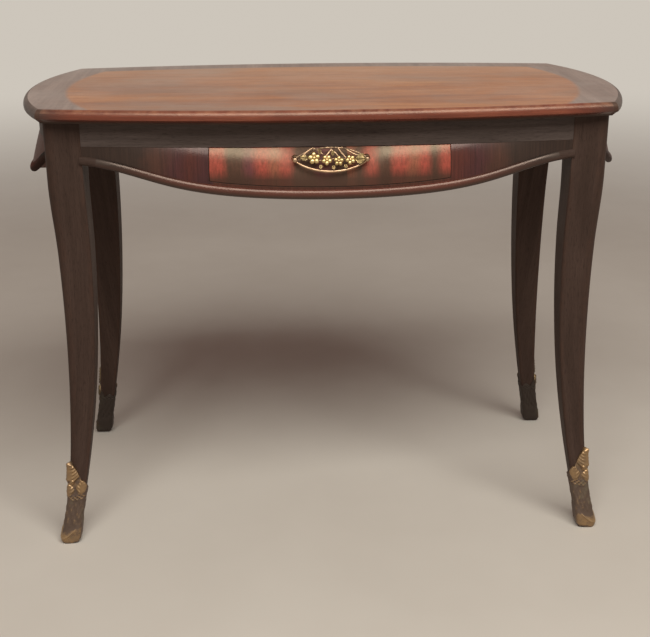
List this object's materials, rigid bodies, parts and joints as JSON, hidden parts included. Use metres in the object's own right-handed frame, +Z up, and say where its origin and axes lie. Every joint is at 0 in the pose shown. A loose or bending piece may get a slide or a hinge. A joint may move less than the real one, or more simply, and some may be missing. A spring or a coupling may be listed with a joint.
{
  "type": "writing table",
  "caption": "Free-standing writing table with a bowed veneered top, swelling aprons, curved legs in gilt shoes and a shallow sliding drawer with a cast pull in the front apron.",
  "frame": {"origin": "on the floor under the centre of the table", "axes": "+X to the right along the front, +Y from the drawer front to the back, +Z up"},
  "size_m": [1.022, 0.54, 0.76],
  "materials": {
    "field_veneer": "polished",
    "border_veneer": "polished",
    "edge_wood": "polished",
    "dark_wood": "polished",
    "striped_veneer": "polished",
    "inner_wood": "planed",
    "gilt_bronze": "worn gilding",
    "steel": "dull"
  },
  "bodies": {
    "table": {"top_field": "field_veneer", "top_border_left": "border_veneer", "top_border_right": "border_veneer", "top_moulding_front": "edge_wood", "top_moulding_back": "edge_wood", "top_moulding_left": "edge_wood", "top_moulding_right": "edge_wood", "bead_front": "edge_wood", "bead_back": "edge_wood", "bead_left": "edge_wood", "bead_right": "edge_wood", "leg_front_left": "dark_wood", "leg_front_right": "dark_wood", "leg_back_left": "dark_wood", "leg_back_right": "dark_wood", "rail_front": "dark_wood", "rail_back": "dark_wood", "rail_left": "dark_wood", "rail_right": "dark_wood", "apron_front": "dark_wood", "apron_back": "dark_wood", "apron_left": "dark_wood", "apron_right": "dark_wood", "top_core": "inner_wood", "runner_left": "inner_wood", "runner_right": "inner_wood", "guide_left": "inner_wood", "guide_right": "inner_wood", "kicker_left": "inner_wood", "kicker_right": "inner_wood", "glue_blocks": "inner_wood", "drawer_stops": "inner_wood", "shoe_front_left": "gilt_bronze", "shoe_front_right": "gilt_bronze", "shoe_back_left": "gilt_bronze", "shoe_back_right": "gilt_bronze", "shoe_pins": "gilt_bronze", "top_screws": "steel"},
    "drawer": {"drawer_front": "striped_veneer", "drawer_side_left": "inner_wood", "drawer_side_right": "inner_wood", "drawer_back": "inner_wood", "drawer_bottom": "inner_wood", "drawer_pull": "gilt_bronze", "pull_bolts": "steel", "pull_nuts": "steel"}
  },
  "joints": [
    {"name": "drawer_slide", "type": "slide", "parent": "table", "child": "drawer", "axis": [0, -1, 0], "range_m": [0, 0.24]}
  ]
}
